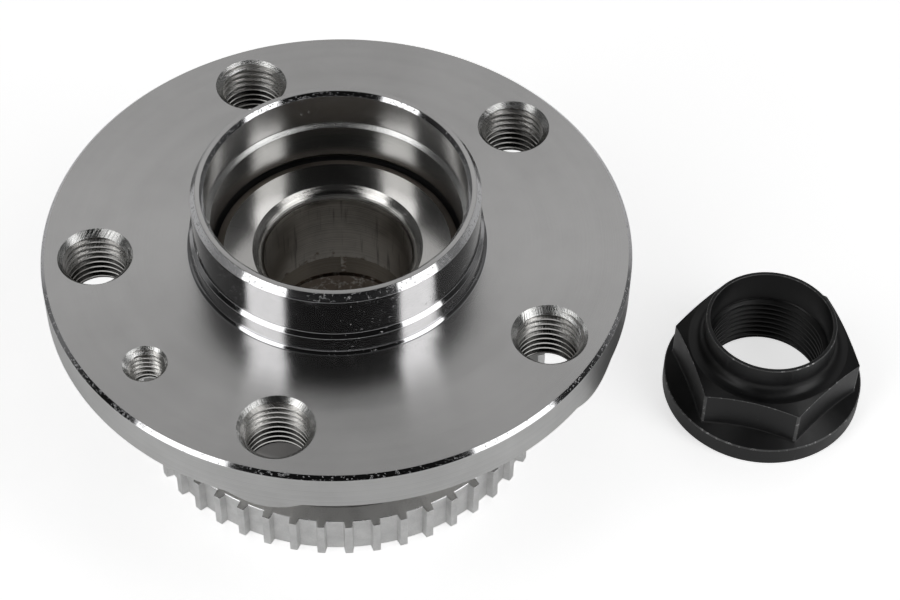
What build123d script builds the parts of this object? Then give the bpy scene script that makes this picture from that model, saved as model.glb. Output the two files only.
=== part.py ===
from build123d import *

import os
from math import cos, pi, radians, sin, tan

os.makedirs("parts", exist_ok=True)

# Wheel hub bearing set. A forged hub carries the wheel and brake disc on its flange. A double-row
# angular-contact ball bearing is pressed into its barrel and held by a retaining ring. A toothed
# ring for the wheel-speed sensor is pressed on the barrel. The spindle nut stands beside the hub.
#
# Millimetres. The origin is the centre of the wheel-mounting face, on the axis of rotation, and +Z
# points outboard, away from the car. "Drop" is a depth below that face.

# The radii stack up from the spindle's bore outwards, wall by wall, so every size can change alone.

# Wheel flange, with a forged boss behind each wheel bolt hole, which tapers from its foot to its
# tip. Root gap and rim width are measured from the centres of the wheel bolt holes, inwards to the
# barrel and outwards to the flange's edge.
bolt_root_gap = 7.5
flange_rim_w = 11.0
flange_t = 8.7
flange_edge = 0.8
bolt_count = 5
bolt_thread_d = 14.0
bolt_pitch = 1.5
bolt_mouth_edge = 0.6
bolt_first_angle = -28.9
boss_foot_wall = 5.8
boss_tip_wall = 1.4
boss_h = 4.9
boss_round = 0.8

# Threaded hole for the screw that holds the brake disc, halfway between two wheel bolt holes
screw_thread_d = 8.0
screw_pitch = 1.25
screw_mouth_edge = 0.45

# Spigot: the wheel centres on its upper cylinder, the brake disc on the lower, larger one
spigot_h = 15.7
spigot_wall = 2.7
pilot_lead_h = 1.55
pilot_lead_r = 1.0
disc_pilot_step = 0.8
disc_pilot_h = 4.2
pilot_foot = 0.6
cap_ledge = 0.8
cap_bore_depth = 8.3
cap_bore_edge = 0.75

# Barrel behind the flange
barrel_wall = 4.9
barrel_flare = 2.6
root_fillet = 5.0
barrel_end_edge = 0.5
seat_edge = 0.8
seat_shoulder_h = 1.7
retaining_land = 1.6

# Bearing, outer ring
outer_wall = 2.935
outer_drop = 3.0
outer_base_rise = 4.6
outer_edge = 1.0
outer_shoulder_h = 3.2
outer_snap_h = 0.4
seal_seat_step = 0.7

# Bearing, the two inner rings
inner_bore_d = 30.0
inner_wall = 6.44
inner_shoulder_h = 3.41
inner_pair_w = 46.5
inner_drop = 2.0
inner_snap_h = 0.8
inner_edge_w = 1.6
inner_edge_h = 0.5
bore_mouth_r = 2.2

# Balls, raceways and cages
ball_d = 9.525
contact_angle = 40.0
groove_ratio = 1.04
ball_play = 0.05
min_ball_gap = 2.0
pocket_play = 0.2
cage_land_gap = 0.4
cage_seal_gap = 0.89
cage_wall = 3.65
cage_prong_h = 2.8
cage_bar_h = 1.0
prong_slot_w = 1.2
prong_slot_h = 1.9
cage_edge = 0.3

# Sleeve that clips the two inner rings together inside their bore
clip_t = 0.5
clip_w = 4.9
clip_groove_w = 6.1
clip_play = 0.02
clip_split = 1.2

# Seals
lip_gap = 0.65
seal_sink = 0.8
seal_w = 3.4
seal_sheet_t = 0.55
seal_lip_play = 0.06
seal_web_w = 3.4
seal_rubber_t = 1.0
lip_tip_w = 0.5
dust_lip_rise = 0.2
dust_lip_w = 0.2
lip_waist = 0.3
slinger_sheet_t = 0.5
slinger_gap = 0.6
inboard_seal_w = 3.0
inboard_seal_sink = 0.25
axial_lip_w = 0.3

# Retaining ring, in a groove of the barrel
retaining_t = 2.0
retaining_play = 0.1
retaining_groove_h = 1.6
retaining_radial_w = 3.3
retaining_gap_w = 7.0
lug_r = 2.4
lug_inset = 0.84
lug_hole_d = 2.0

# Toothed ring for the wheel-speed sensor
tone_seat_step = 0.4
tone_h = 9.3
tone_wall = 4.1
tone_tooth_h = 1.55
tone_teeth = 48
tone_tip_w = 1.65
tone_foot_w = 2.15
tone_first_angle = 4.67
tone_proud = 0.45
tone_edge = 0.5

# Spindle nut: hexagon, fixed washer and a thin collar that is staked into the spindle's slot
nut_gap = 10.3
nut_y = 3.5
nut_thread_d = 26.0
nut_pitch = 1.5
nut_angle = 45.6
nut_ledge_w = 3.57
nut_washer_w = 4.0
nut_rim_h = 4.4
nut_cone_h = 2.2
nut_hex_h = 8.6
nut_bevel_angle = 27.0
nut_collar_h = 6.8
nut_collar_wall = 0.83
nut_collar_fillet = 2.4
nut_collar_play = 0.1
nut_mouth = 1.8
nut_relief_drop = 1.8
nut_edge = 0.35

# Share of a metric thread's pitch between its nominal diameter and its bored diameter
THREAD_BORE = 1.0825

# Share of a rubber lip's reach where it bends towards the land it runs on
LIP_BEND = 0.4


def bored_r(thread_d, pitch):
    """Radius of the hole that a metric thread is cut in."""
    return (thread_d - THREAD_BORE * pitch) / 2


# Radii that follow from the sizes above, from the bore outwards
inner_bore_r = inner_bore_d / 2
ball_r = ball_d / 2
inner_race_r = inner_bore_r + inner_wall
inner_land_r = inner_race_r + inner_shoulder_h
pitch_r = inner_race_r + ball_play + ball_r
outer_race_r = pitch_r + ball_r + ball_play
outer_r = outer_race_r + outer_wall
retaining_groove_r = outer_r + retaining_groove_h
seal_seat_r = outer_race_r + seal_seat_step - outer_snap_h
barrel_end_r = outer_r + barrel_wall
barrel_root_r = barrel_end_r + barrel_flare
tone_seat_r = barrel_end_r - tone_seat_step
bolt_circle_r = barrel_root_r + bolt_root_gap
flange_r = bolt_circle_r + flange_rim_w
hub_lip_r = inner_land_r + lip_gap
cap_bore_r = hub_lip_r + cap_ledge
wheel_pilot_r = cap_bore_r + spigot_wall
disc_pilot_r = wheel_pilot_r + disc_pilot_step

# Holes of the flange
bolt_r = bored_r(bolt_thread_d, bolt_pitch)
screw_r = bored_r(screw_thread_d, screw_pitch)
boss_foot_r = bolt_thread_d / 2 + boss_foot_wall
boss_tip_r = bolt_thread_d / 2 + boss_tip_wall
screw_angle = bolt_first_angle - 1.5 * 360 / bolt_count

# Heights of the bearing and of the barrel round it
inner_top = -inner_drop
inner_joint = inner_top - inner_pair_w / 2
inner_base = inner_top - inner_pair_w
outer_top = -outer_drop
outer_base = inner_base + outer_base_rise
groove_base = outer_base - retaining_t - retaining_play
barrel_base = groove_base - retaining_land

# Balls, and how far each raceway's centre lies from the balls' own circle
ball_count = int(2 * pi * pitch_r / (ball_d + min_ball_gap))
groove_r = groove_ratio * ball_r
groove_shift = groove_r - ball_r - ball_play
shift_r = groove_shift * cos(radians(contact_angle))
shift_z = groove_shift * sin(radians(contact_angle))
row_base = outer_base + inboard_seal_sink + inboard_seal_w + cage_seal_gap + cage_bar_h + ball_r

# Each row is listed as its name, its height and the side of it that faces away from the joint
rows = [
    ("outboard", 2 * inner_joint - row_base, 1),
    ("inboard", row_base, -1),
]


# Hub: forged and turned in one piece, with flange, spigot, barrel and the seat of the bearing
with BuildPart() as wheel_boss:
    with BuildSketch(Plane.XZ) as boss_profile:
        with BuildLine():
            Polyline((0, 0), (boss_foot_r, 0), (boss_tip_r, -boss_h), (0, -boss_h), close=True)
        make_face()
        fillet(boss_profile.vertices().sort_by_distance((boss_tip_r, -boss_h))[0], boss_round)
    revolve(axis=Axis.Z)

ledge_top = spigot_h - cap_bore_depth
shoulder_top = outer_top + seat_shoulder_h
hub_outline = [
    (cap_bore_r + cap_bore_edge, spigot_h),
    (wheel_pilot_r - pilot_lead_r, spigot_h),
    (wheel_pilot_r, spigot_h - pilot_lead_h),
    (wheel_pilot_r, disc_pilot_h + disc_pilot_step),
    (disc_pilot_r, disc_pilot_h),
    (disc_pilot_r, pilot_foot),
    (disc_pilot_r + pilot_foot, 0),
    (flange_r - flange_edge, 0),
    (flange_r, -flange_edge),
    (flange_r, -flange_t),
    (barrel_root_r, -flange_t),
    (barrel_end_r, barrel_base + tone_h - tone_proud),
    (tone_seat_r, barrel_base + tone_h - tone_proud),
    (tone_seat_r, barrel_base + barrel_end_edge),
    (tone_seat_r - barrel_end_edge, barrel_base),
    (outer_r + seat_edge, barrel_base),
    (outer_r, barrel_base + seat_edge),
    (outer_r, groove_base),
    (retaining_groove_r, groove_base),
    (retaining_groove_r, outer_base),
    (outer_r, outer_base),
    (outer_r, outer_top),
    (hub_lip_r + seat_shoulder_h, outer_top),
    (hub_lip_r, shoulder_top),
    (hub_lip_r, ledge_top - cap_ledge),
    (cap_bore_r, ledge_top),
    (cap_bore_r, spigot_h - cap_bore_edge),
]

# The drills and the trimming cylinder reach well past the forging
drill_depth = flange_t + 2 * boss_h
trim_h = 4 * inner_pair_w
with BuildPart() as hub_flange:
    with BuildSketch(Plane.XZ) as hub_profile:
        with BuildLine():
            Polyline(*hub_outline, close=True)
        make_face()
        fillet(hub_profile.vertices().sort_by_distance((barrel_root_r, -flange_t))[0], root_fillet)
    revolve(axis=Axis.Z)
    with Locations((0, 0, -flange_t)):
        with PolarLocations(bolt_circle_r, bolt_count, bolt_first_angle):
            add(wheel_boss.part)
    Cylinder(flange_r, trim_h, mode=Mode.INTERSECT)
    with PolarLocations(bolt_circle_r, bolt_count, bolt_first_angle):
        CounterSinkHole(
            radius=bolt_r,
            counter_sink_radius=bolt_thread_d / 2 + bolt_mouth_edge,
            depth=drill_depth,
            counter_sink_angle=90,
        )
    with PolarLocations(bolt_circle_r, 1, screw_angle):
        CounterSinkHole(
            radius=screw_r,
            counter_sink_radius=screw_thread_d / 2 + screw_mouth_edge,
            depth=drill_depth,
            counter_sink_angle=90,
        )
hub_flange.part.label = "hub_flange"
export_step(hub_flange.part, "parts/hub_flange.step")


# Outer ring of the bearing: ground steel with both raceways, pressed against the hub's shoulder
outer_land_r = outer_race_r - outer_shoulder_h
outer_snap_r = outer_race_r - outer_snap_h
top_seat_h = seal_sink + seal_w
base_seat_h = inboard_seal_sink + inboard_seal_w
with BuildPart() as bearing_outer_ring:
    with BuildSketch(Plane.XZ):
        with BuildLine():
            Polyline(
                (seal_seat_r, outer_top),
                (outer_r - outer_edge, outer_top),
                (outer_r, outer_top - outer_edge),
                (outer_r, outer_base + outer_edge),
                (outer_r - outer_edge, outer_base),
                (seal_seat_r, outer_base),
                (seal_seat_r, outer_base + base_seat_h),
                (outer_snap_r, outer_base + base_seat_h),
                (outer_snap_r, rows[1][1]),
                (outer_land_r, rows[1][1]),
                (outer_land_r, rows[0][1]),
                (outer_snap_r, rows[0][1]),
                (outer_snap_r, outer_top - top_seat_h),
                (seal_seat_r, outer_top - top_seat_h),
                close=True,
            )
        make_face()
        for row, row_z, side in rows:
            with Locations((pitch_r - shift_r, row_z + side * shift_z)):
                Circle(groove_r, mode=Mode.SUBTRACT)
    revolve(axis=Axis.Z)
bearing_outer_ring.part.label = "bearing_outer_ring"
export_step(bearing_outer_ring.part, "parts/bearing_outer_ring.step")


# Inner rings: two like rings, face to face at the joint, that stay still on the spindle
inner_snap_r = inner_race_r + inner_snap_h
clip_groove_r = inner_bore_r + clip_play + clip_t
for row, row_z, side in rows:
    face_z = inner_joint + side * inner_pair_w / 2
    clip_z = inner_joint + side * clip_groove_w / 2
    with BuildPart() as inner_ring:
        with BuildSketch(Plane.XZ) as inner_profile:
            with BuildLine():
                Polyline(
                    (inner_bore_r, face_z),
                    (inner_land_r - inner_edge_w, face_z),
                    (inner_land_r, face_z - side * inner_edge_h),
                    (inner_land_r, row_z),
                    (inner_snap_r, row_z),
                    (inner_snap_r, inner_joint),
                    (clip_groove_r, inner_joint),
                    (clip_groove_r, clip_z),
                    (inner_bore_r, clip_z),
                    close=True,
                )
            make_face()
            fillet(inner_profile.vertices().sort_by_distance((inner_bore_r, face_z))[0], bore_mouth_r)
            with Locations((pitch_r + shift_r, row_z - side * shift_z)):
                Circle(groove_r, mode=Mode.SUBTRACT)
        revolve(axis=Axis.Z)
    inner_ring.part.label = "inner_ring_" + row
    export_step(inner_ring.part, "parts/inner_ring_" + row + ".step")


# Joining clip: a thin split sleeve that springs into the groove under both inner rings
clip_top = inner_joint + clip_groove_w / 2 - clip_play
with BuildPart() as inner_ring_clip:
    with BuildSketch(Plane.XY.offset(clip_top - clip_w)):
        Circle(clip_groove_r)
        Circle(clip_groove_r - clip_t, mode=Mode.SUBTRACT)
        with Locations((0, clip_groove_r)):
            Rectangle(clip_split, 4 * clip_t, mode=Mode.SUBTRACT)
    extrude(amount=clip_w)
inner_ring_clip.part.label = "inner_ring_clip"
export_step(inner_ring_clip.part, "parts/inner_ring_clip.step")


# Balls and cages: each row's cage is moulded, its prongs snap over the balls towards the joint
cage_inner_r = inner_land_r + cage_land_gap
cage_outer_r = cage_inner_r + cage_wall
ball_step = 360 / ball_count
for row, row_z, side in rows:
    prong_z = row_z - side * cage_prong_h
    back_z = row_z + side * (ball_r + cage_bar_h)
    slot_z = prong_z + side * prong_slot_h / 2
    with BuildPart() as cage:
        with BuildSketch(Plane.XZ) as cage_profile:
            with BuildLine():
                Polyline(
                    (cage_inner_r, prong_z),
                    (cage_outer_r, prong_z),
                    (cage_outer_r, back_z),
                    (cage_inner_r, back_z),
                    close=True,
                )
            make_face()
            chamfer(cage_profile.vertices(), cage_edge)
        revolve(axis=Axis.Z)
        with Locations((0, 0, row_z)):
            with PolarLocations(pitch_r, ball_count):
                Sphere(ball_r + pocket_play, mode=Mode.SUBTRACT)
        with Locations((0, 0, slot_z)):
            with PolarLocations(pitch_r, ball_count, ball_step / 2):
                Box(3 * cage_wall, prong_slot_w, prong_slot_h, mode=Mode.SUBTRACT)
    cage.part.label = "cage_" + row
    export_step(cage.part, "parts/cage_" + row + ".step")
    for number in range(ball_count):
        turn = radians(number * ball_step)
        with BuildPart() as ball:
            with Locations((pitch_r * cos(turn), pitch_r * sin(turn), row_z)):
                Sphere(ball_r)
        name = f"ball_{row}_{number + 1:02d}"
        ball.part.label = name
        export_step(ball.part, "parts/" + name + ".step")


# Outboard seal: a pressed steel ring in the outer ring's seat, with a rubber lip bonded to it
seal_top = outer_top - seal_sink
web_top = seal_top
web_base = web_top - seal_sheet_t
web_inner_r = seal_seat_r - seal_sheet_t - seal_web_w
lip_r = inner_land_r + seal_lip_play
with BuildPart() as seal_outboard_case:
    with BuildSketch(Plane.XZ):
        with BuildLine():
            Polyline(
                (web_inner_r, web_top),
                (seal_seat_r, web_top),
                (seal_seat_r, seal_top - seal_w),
                (seal_seat_r - seal_sheet_t, seal_top - seal_w),
                (seal_seat_r - seal_sheet_t, web_base),
                (web_inner_r, web_base),
                close=True,
            )
        make_face()
    revolve(axis=Axis.Z)
seal_outboard_case.part.label = "seal_outboard_case"
export_step(seal_outboard_case.part, "parts/seal_outboard_case.step")

lip_reach = web_inner_r - lip_r
lip_bend_r = lip_r + lip_reach * LIP_BEND
with BuildPart() as seal_outboard_lip:
    with BuildSketch(Plane.XZ):
        with BuildLine():
            Polyline(
                (web_inner_r, web_top),
                (web_inner_r, web_base),
                (web_inner_r + seal_rubber_t, web_base),
                (web_inner_r + seal_rubber_t, web_base - seal_rubber_t),
                (web_inner_r - lip_reach * LIP_BEND, web_base - seal_rubber_t),
                (lip_r, seal_top - seal_w),
                (lip_r, seal_top - seal_w + lip_tip_w),
                (lip_bend_r, web_base - lip_waist),
                (lip_r, web_top + dust_lip_rise),
                (lip_r, web_top + dust_lip_rise + dust_lip_w),
                (web_inner_r - lip_reach * LIP_BEND, web_top),
                close=True,
            )
        make_face()
    revolve(axis=Axis.Z)
seal_outboard_lip.part.label = "seal_outboard_lip"
export_step(seal_outboard_lip.part, "parts/seal_outboard_lip.step")


# Inboard seal: a slinger pressed on the inner ring turns mud away from the case and its lips
sling_base = outer_base + inboard_seal_sink
sling_top = sling_base + inboard_seal_w
sleeve_r = inner_land_r + slinger_sheet_t
sling_rim_r = seal_seat_r - seal_sheet_t - slinger_gap
with BuildPart() as seal_inboard_slinger:
    with BuildSketch(Plane.XZ):
        with BuildLine():
            Polyline(
                (inner_land_r, sling_base),
                (sling_rim_r, sling_base),
                (sling_rim_r, sling_base + slinger_sheet_t),
                (sleeve_r, sling_base + slinger_sheet_t),
                (sleeve_r, sling_top - slinger_sheet_t / 2),
                (inner_land_r, sling_top - slinger_sheet_t / 2),
                close=True,
            )
        make_face()
    revolve(axis=Axis.Z)
seal_inboard_slinger.part.label = "seal_inboard_slinger"
export_step(seal_inboard_slinger.part, "parts/seal_inboard_slinger.step")

case_inner_r = seal_seat_r - seal_sheet_t - seal_web_w
case_web = sling_top - seal_sheet_t
with BuildPart() as seal_inboard_case:
    with BuildSketch(Plane.XZ):
        with BuildLine():
            Polyline(
                (case_inner_r, sling_top),
                (seal_seat_r, sling_top),
                (seal_seat_r, sling_base),
                (seal_seat_r - seal_sheet_t, sling_base),
                (seal_seat_r - seal_sheet_t, case_web),
                (case_inner_r, case_web),
                close=True,
            )
        make_face()
    revolve(axis=Axis.Z)
seal_inboard_case.part.label = "seal_inboard_case"
export_step(seal_inboard_case.part, "parts/seal_inboard_case.step")

sleeve_lip_r = sleeve_r + seal_lip_play
sleeve_reach = case_inner_r - sleeve_lip_r
sleeve_bend_r = sleeve_lip_r + sleeve_reach * LIP_BEND
axial_lip_r = case_inner_r + seal_rubber_t
axial_lip_z = sling_base + slinger_sheet_t + seal_lip_play
with BuildPart() as seal_inboard_lip:
    with BuildSketch(Plane.XZ):
        with BuildLine():
            Polyline(
                (case_inner_r, sling_top),
                (case_inner_r, case_web),
                (axial_lip_r + axial_lip_w, case_web),
                (axial_lip_r + 2 * axial_lip_w, axial_lip_z),
                (axial_lip_r + axial_lip_w, axial_lip_z),
                (axial_lip_r - axial_lip_w, case_web - lip_tip_w),
                (case_inner_r - sleeve_reach * LIP_BEND, case_web - lip_tip_w),
                (sleeve_lip_r, case_web - 2 * lip_tip_w),
                (sleeve_lip_r, case_web - lip_tip_w),
                (sleeve_bend_r, case_web),
                (sleeve_bend_r, sling_top),
                close=True,
            )
        make_face()
    revolve(axis=Axis.Z)
seal_inboard_lip.part.label = "seal_inboard_lip"
export_step(seal_inboard_lip.part, "parts/seal_inboard_lip.step")


# Retaining ring: punched spring steel, sprung into the barrel's groove under the outer ring
ring_outer_r = retaining_groove_r - retaining_play
ring_inner_r = ring_outer_r - retaining_radial_w
lug_place_r = ring_inner_r - lug_inset
lug_x = retaining_gap_w / 2 + lug_r
lug_y = -((lug_place_r**2 - lug_x**2) ** 0.5)
with BuildPart() as retaining_ring:
    with BuildSketch(Plane.XY.offset(outer_base - retaining_t)):
        Circle(ring_outer_r)
        Circle(ring_inner_r, mode=Mode.SUBTRACT)
        with Locations((-lug_x, lug_y), (lug_x, lug_y)):
            Circle(lug_r)
        with Locations((0, -ring_outer_r)):
            Rectangle(retaining_gap_w, 4 * retaining_radial_w, mode=Mode.SUBTRACT)
        with Locations((-lug_x, lug_y), (lug_x, lug_y)):
            Circle(lug_hole_d / 2, mode=Mode.SUBTRACT)
    extrude(amount=retaining_t)
retaining_ring.part.label = "retaining_ring"
export_step(retaining_ring.part, "parts/retaining_ring.step")


# Toothed ring: sintered, with straight teeth all round, pressed on the barrel up to its step
tone_root_r = tone_seat_r + tone_wall
tone_tip_r = tone_root_r + tone_tooth_h
tone_base = barrel_base - tone_proud
with BuildSketch() as tone_tooth:
    with BuildLine():
        Polyline(
            (tone_root_r - tone_tooth_h / 2, -tone_foot_w / 2),
            (tone_root_r, -tone_foot_w / 2),
            (tone_tip_r, -tone_tip_w / 2),
            (tone_tip_r, tone_tip_w / 2),
            (tone_root_r, tone_foot_w / 2),
            (tone_root_r - tone_tooth_h / 2, tone_foot_w / 2),
            close=True,
        )
    make_face()

with BuildPart() as tone_ring:
    with BuildSketch(Plane.XY.offset(tone_base)):
        Circle(tone_root_r)
        with PolarLocations(0, tone_teeth, tone_first_angle):
            add(tone_tooth.sketch)
        Circle(tone_seat_r, mode=Mode.SUBTRACT)
    extrude(amount=tone_h)
    bore_edges = tone_ring.edges().filter_by(GeomType.CIRCLE).sort_by(SortBy.RADIUS)[:2]
    chamfer(bore_edges.sort_by(Axis.Z)[-1], tone_edge)
tone_ring.part.label = "tone_ring"
export_step(tone_ring.part, "parts/tone_ring.step")


# Spindle nut: forged hexagon on a fixed washer, with a smooth thin collar above the thread
nut_bore_r = bored_r(nut_thread_d, nut_pitch)
nut_collar_bore_r = nut_thread_d / 2 + nut_collar_play
nut_collar_r = nut_collar_bore_r + nut_collar_wall
nut_inset = nut_collar_r + nut_ledge_w
nut_washer_r = nut_inset + nut_washer_w
nut_x = flange_r + nut_gap + nut_washer_r
nut_corner_r = nut_inset / cos(pi / 6)
hex_top = nut_rim_h + nut_cone_h + nut_hex_h
bevel_r = nut_corner_r + nut_edge
bevel_drop = (bevel_r - nut_inset) * tan(radians(nut_bevel_angle))
collar_top = hex_top + nut_collar_h
with BuildPart() as spindle_nut:
    with BuildSketch():
        RegularPolygon(nut_inset, 6, major_radius=False, rotation=nut_angle)
    extrude(amount=hex_top)
    with BuildSketch(Plane.XZ):
        with BuildLine():
            Polyline(
                (0, 0),
                (bevel_r, 0),
                (bevel_r, hex_top - bevel_drop),
                (nut_inset, hex_top),
                (0, hex_top),
                close=True,
            )
        make_face()
    revolve(axis=Axis.Z, mode=Mode.INTERSECT)
    with BuildSketch(Plane.XZ) as nut_profile:
        with BuildLine():
            Polyline(
                (0, 0),
                (nut_washer_r - nut_edge, 0),
                (nut_washer_r, nut_edge),
                (nut_washer_r, nut_rim_h),
                (nut_inset - nut_edge, nut_rim_h + nut_cone_h),
                (nut_inset - nut_edge, hex_top),
                (nut_collar_r, hex_top),
                (nut_collar_r, collar_top),
                (0, collar_top),
                close=True,
            )
        make_face()
        fillet(nut_profile.vertices().sort_by_distance((nut_collar_r, hex_top))[0], nut_collar_fillet)
    revolve(axis=Axis.Z)
    with BuildSketch(Plane.XZ):
        with BuildLine():
            Polyline(
                (0, 0),
                (nut_bore_r + nut_mouth, 0),
                (nut_bore_r, nut_mouth),
                (nut_bore_r, hex_top - nut_relief_drop),
                (nut_collar_bore_r, hex_top - nut_relief_drop + nut_collar_bore_r - nut_bore_r),
                (nut_collar_bore_r, collar_top - nut_edge),
                (nut_collar_bore_r + nut_edge, collar_top),
                (0, collar_top),
                close=True,
            )
        make_face()
    revolve(axis=Axis.Z, mode=Mode.SUBTRACT)
spindle_nut.part.position = (nut_x, nut_y, inner_base)
spindle_nut.part.label = "spindle_nut"
export_step(spindle_nut.part, "parts/spindle_nut.step")
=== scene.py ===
from math import atan2, cos, pi, radians, sin, tan

import bmesh
import bpy
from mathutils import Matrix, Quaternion, Vector


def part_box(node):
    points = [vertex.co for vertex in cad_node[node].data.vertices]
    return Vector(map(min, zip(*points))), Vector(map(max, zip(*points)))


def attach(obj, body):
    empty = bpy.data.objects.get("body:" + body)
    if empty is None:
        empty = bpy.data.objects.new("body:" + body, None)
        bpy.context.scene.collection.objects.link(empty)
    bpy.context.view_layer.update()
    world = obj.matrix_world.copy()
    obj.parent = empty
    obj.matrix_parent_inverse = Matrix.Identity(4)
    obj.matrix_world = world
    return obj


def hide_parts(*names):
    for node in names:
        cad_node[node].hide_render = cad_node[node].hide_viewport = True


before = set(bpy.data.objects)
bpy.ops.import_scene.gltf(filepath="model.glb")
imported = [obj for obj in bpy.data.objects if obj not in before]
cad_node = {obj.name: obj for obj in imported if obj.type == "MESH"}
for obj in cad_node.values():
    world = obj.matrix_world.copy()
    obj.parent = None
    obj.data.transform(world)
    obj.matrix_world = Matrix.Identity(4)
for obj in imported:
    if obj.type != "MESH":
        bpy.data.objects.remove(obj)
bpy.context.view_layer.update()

# Inner rings of the bearing: two like rings of through-hardened steel, face to face. Their faces,
# bores and lands are ground. The outboard one is seen down the spigot, under an oily film, with a
# dull turned band round its face where the heat treatment's colour is left.
arc_step = 0.0004
sharp_angle = radians(32)


def rounded(outline):
    """Points of an outline of (radius, height, corner round), with an arc at each rounded corner."""
    path = []
    for before, corner, after in zip(outline[-1:] + outline[:-1], outline, outline[1:] + outline[:1]):
        here = Vector(corner[:2])
        if len(corner) == 2:
            path.append(here)
            continue
        back = (Vector(before[:2]) - here).normalized()
        on = (Vector(after[:2]) - here).normalized()
        half = back.angle(on) / 2
        centre = here + (back + on).normalized() * corner[2] / sin(half)
        first = here + back * corner[2] / tan(half)
        last = here + on * corner[2] / tan(half)
        steps = 4 + int(corner[2] / arc_step)
        for step in range(steps + 1):
            spoke = first.lerp(last, step / steps) - centre
            path.append(centre + spoke.normalized() * corner[2])
    return path


def ring_mesh(name, rings, closed=True):
    """Mesh through rings of points, each closed on itself. A closed mesh joins its last ring to its first."""
    count = len(rings[0])
    faces = []
    for k in range(len(rings) if closed else len(rings) - 1):
        here, there = k * count, (k + 1) % len(rings) * count
        for j in range(count):
            n = (j + 1) % count
            faces.append((here + j, here + n, there + n, there + j))
    mesh = bpy.data.meshes.new(name)
    mesh.from_pydata([point for ring in rings for point in ring], [], faces)
    mesh.shade_smooth()
    mesh.set_sharp_from_angle(angle=sharp_angle)
    return mesh


def even_shading(piece):
    """Keeps flat faces flat beside their small rounded edges."""
    piece.modifiers.new("even_shading", "WEIGHTED_NORMAL").keep_sharp = True


def add(name, data):
    """A new object in the scene, of a mesh, a lamp or a camera."""
    made = bpy.data.objects.new(name, data)
    bpy.context.scene.collection.objects.link(made)
    return made


def turned(name, outline, around=360):
    """Object turned about the Z axis. The outline runs counterclockwise, radius to the right, height up."""
    turns = [2 * pi * j / around for j in range(around)]
    rings = [[(p.x * cos(a), p.x * sin(a), p.y) for a in turns] for p in rounded(outline)]
    return add(name, ring_mesh(name, rings))


def finish_with(piece, *materials):
    """Gives a piece its materials, first to last, in place of any it has."""
    piece.data.materials.clear()
    for material in materials:
        piece.data.materials.append(material)


def zone(piece, material, chosen):
    """Gives a material of the piece to the faces that a test picks by their radius, height and normal."""
    slot = piece.data.materials.find(material.name)
    for face in piece.data.polygons:
        x, y, z = face.center
        if chosen((x * x + y * y) ** 0.5, z, face.normal):
            face.material_index = slot


def blank(name):
    """A new material, with its shader."""
    material = bpy.data.materials.new(name)
    material.use_nodes = True
    return material, material.node_tree.nodes["Principled BSDF"]


def node(material, kind, inputs, **settings):
    """Adds a node. Each input, by name or number, takes a value or another node's output."""
    made = material.node_tree.nodes.new("ShaderNode" + kind)
    for name, value in settings.items():
        setattr(made, name, value)
    for name, value in inputs.items():
        if isinstance(value, bpy.types.NodeSocket):
            material.node_tree.links.new(value, made.inputs[name])
        else:
            made.inputs[name].default_value = value
    return made


def plug(material, shader, **sockets):
    """Links outputs to the shader's inputs, whose names are written with _ for a space."""
    for name, output in sockets.items():
        material.node_tree.links.new(output, shader.inputs[name.replace("_", " ")])


def ramp(material, source, stops):
    """Colour ramp with stops of (place, grey level or colour)."""
    made = node(material, "ValToRGB", {0: source})
    marks = made.color_ramp.elements
    while len(marks) < len(stops):
        marks.new(0.5)
    for mark, (place, shade) in zip(marks, stops):
        mark.position = place
        mark.color = (*shade, 1) if isinstance(shade, tuple) else (shade, shade, shade, 1)
    return made.outputs["Color"]


def place_in(material):
    """Outputs of the place in the piece: the point, its radius from the piece's axis, and its height."""
    point = node(material, "TexCoord", {}).outputs["Object"]
    split = node(material, "SeparateXYZ", {0: point})
    level = node(material, "CombineXYZ", {0: split.outputs[0], 1: split.outputs[1]})
    radius = node(material, "VectorMath", {0: level.outputs[0]}, operation="LENGTH").outputs["Value"]
    return point, radius, split.outputs[2]


nick_depth = 0.0001
mark_skew = 0.731


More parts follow.
